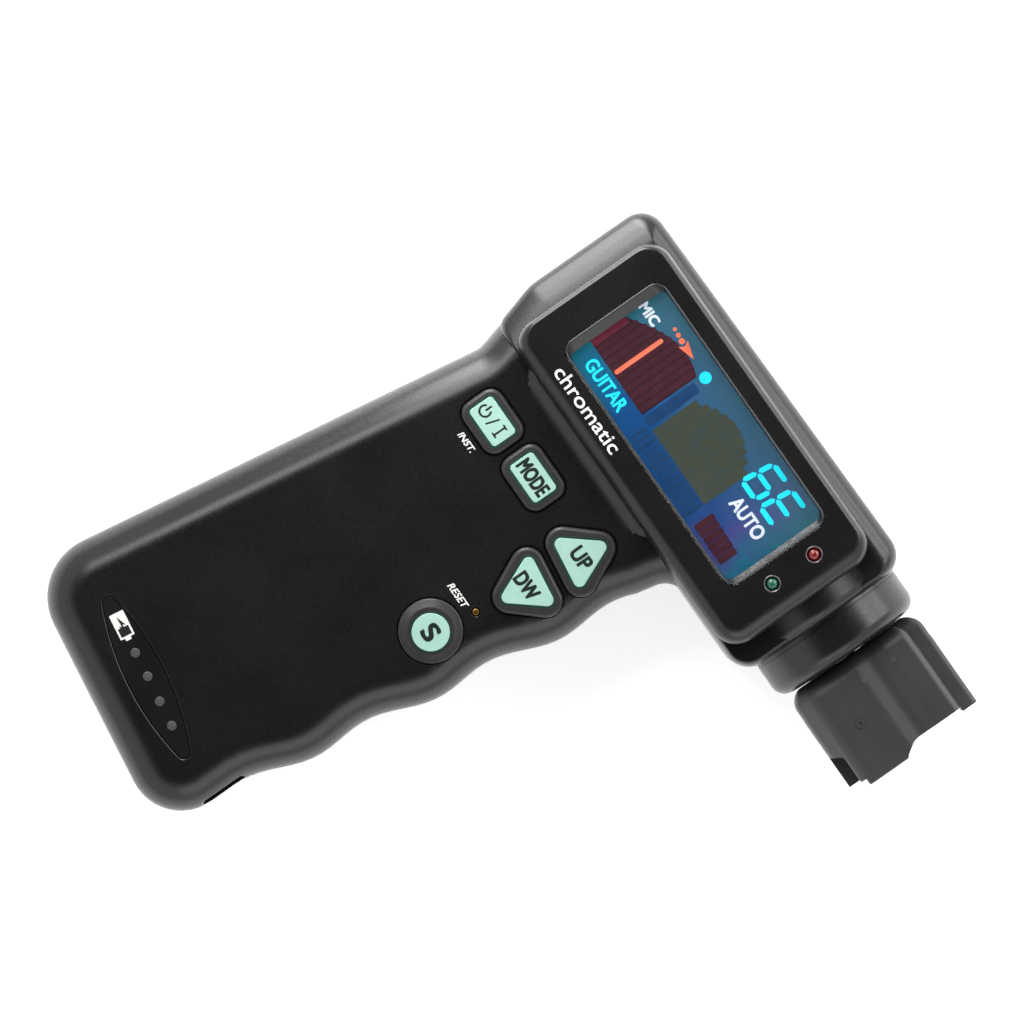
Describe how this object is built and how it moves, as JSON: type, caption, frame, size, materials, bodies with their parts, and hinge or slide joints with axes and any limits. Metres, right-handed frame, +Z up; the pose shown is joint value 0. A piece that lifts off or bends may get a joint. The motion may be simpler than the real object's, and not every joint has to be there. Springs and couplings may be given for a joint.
{
  "type": "hand-held peg-winding guitar tuner",
  "caption": "Pistol-shaped hand-held guitar tuner: head with colour display, grip with finger grooves and keys, and a motor-driven cup that turns a tuning peg.",
  "frame": {"origin": "middle of the outer box on the resting plane, the tuner lying on its flat back", "axes": "+Z up out of the face with the display and keys, +X along the winder axis towards the winder, +Y from the butt towards the head"},
  "size_m": [0.1148, 0.1334, 0.0347],
  "materials": {
    "shell": "satin moulded black ABS",
    "winder_plastic": "moulded black ABS, slightly greyer",
    "bezel": "grey bevelled edge",
    "clear_window": "clear acrylic, polished",
    "lcd": "colour liquid-crystal cell",
    "white_plastic": "white diffuser plastic",
    "circuit_board": "green solder mask",
    "red_led": "red tinted epoxy lens",
    "green_led": "green tinted epoxy lens",
    "key_rubber": "smoked silicone",
    "mint_inlay": "mint-coloured print with dark legend",
    "steel": "plain steel",
    "brass": "machined brass",
    "bronze": "sintered bronze",
    "nylon": "natural nylon",
    "grey_plastic": "dark grey glass-filled nylon",
    "cell_wrap": "heat-shrink wrap",
    "foam": "closed-cell foam"
  },
  "bodies": {
    "housing": {"front_shell": "shell", "rear_shell": "shell", "nose_collar": "shell", "window_bezel": "bezel", "display_lens": "clear_window", "gauge_window": "clear_window", "lcd_glass": "lcd", "lcd_holder": "white_plastic", "light_panel": "white_plastic", "gauge_led_1": "white_plastic", "gauge_led_2": "white_plastic", "gauge_led_3": "white_plastic", "gauge_led_4": "white_plastic", "display_board": "circuit_board", "main_board": "circuit_board", "led_red": "red_led", "led_green": "green_led", "key_mat": "key_rubber", "reset_switch": "steel", "microphone": "steel", "charging_socket": "steel", "motor_can": "steel", "case_screw_1": "steel", "case_screw_2": "steel", "case_screw_3": "steel", "case_screw_4": "steel", "case_screw_5": "steel", "case_screw_6": "steel", "shaft_bush": "bronze", "thrust_washer": "nylon", "motor_end_cap": "grey_plastic", "ring_gear": "grey_plastic", "gearbox_back": "grey_plastic", "gearbox_front": "grey_plastic", "battery_cell": "cell_wrap", "cell_pad": "foam"},
    "winder": {"winder_cup": "winder_plastic", "winder_screw": "steel", "output_shaft": "steel", "planet_carrier": "steel"},
    "pinion": {"motor_pinion": "brass"},
    "planet_1": {"planet_gear_1": "nylon"},
    "planet_2": {"planet_gear_2": "nylon"},
    "planet_3": {"planet_gear_3": "nylon"},
    "key_power": {"key_power": "key_rubber", "key_power_inlay": "mint_inlay"},
    "key_mode": {"key_mode": "key_rubber", "key_mode_inlay": "mint_inlay"},
    "key_up": {"key_up": "key_rubber", "key_up_inlay": "mint_inlay"},
    "key_down": {"key_down": "key_rubber", "key_down_inlay": "mint_inlay"},
    "key_save": {"key_save": "key_rubber", "key_save_inlay": "mint_inlay"},
    "reset": {"reset_plunger": "brass"}
  },
  "joints": [
    {"name": "winder_spin", "type": "hinge", "parent": "housing", "child": "winder", "pos_m": [0.04699, 0.0495, 0.0149], "axis": [1, 0, 0], "continuous": true},
    {"name": "pinion_spin", "type": "hinge", "parent": "housing", "child": "pinion", "pos_m": [-0.01001, 0.0495, 0.0149], "axis": [1, 0, 0], "continuous": true},
    {"name": "planet_1_spin", "type": "hinge", "parent": "winder", "child": "planet_1", "pos_m": [-0.00901, 0.0495, 0.0089], "axis": [1, 0, 0], "continuous": true},
    {"name": "planet_2_spin", "type": "hinge", "parent": "winder", "child": "planet_2", "pos_m": [-0.00901, 0.0547, 0.0179], "axis": [1, 0, 0], "continuous": true},
    {"name": "planet_3_spin", "type": "hinge", "parent": "winder", "child": "planet_3", "pos_m": [-0.00901, 0.0443, 0.0179], "axis": [1, 0, 0], "continuous": true},
    {"name": "key_power_press", "type": "slide", "parent": "housing", "child": "key_power", "axis": [0, 0, -1], "range_m": [0, 0.0007], "stiffness_N_per_m": 600},
    {"name": "key_mode_press", "type": "slide", "parent": "housing", "child": "key_mode", "axis": [0, 0, -1], "range_m": [0, 0.0007], "stiffness_N_per_m": 600},
    {"name": "key_up_press", "type": "slide", "parent": "housing", "child": "key_up", "axis": [0, 0, -1], "range_m": [0, 0.0007], "stiffness_N_per_m": 600},
    {"name": "key_down_press", "type": "slide", "parent": "housing", "child": "key_down", "axis": [0, 0, -1], "range_m": [0, 0.0007], "stiffness_N_per_m": 600},
    {"name": "key_save_press", "type": "slide", "parent": "housing", "child": "key_save", "axis": [0, 0, -1], "range_m": [0, 0.0007], "stiffness_N_per_m": 600},
    {"name": "reset_press", "type": "slide", "parent": "housing", "child": "reset", "axis": [0, 0, -1], "range_m": [0, 0.00025], "stiffness_N_per_m": 600}
  ],
  "couplings": [
    {"joint": "pinion_spin", "follows": "winder_spin", "ratio": 4},
    {"joint": "planet_1_spin", "follows": "winder_spin", "ratio": -3},
    {"joint": "planet_2_spin", "follows": "winder_spin", "ratio": -3},
    {"joint": "planet_3_spin", "follows": "winder_spin", "ratio": -3}
  ]
}
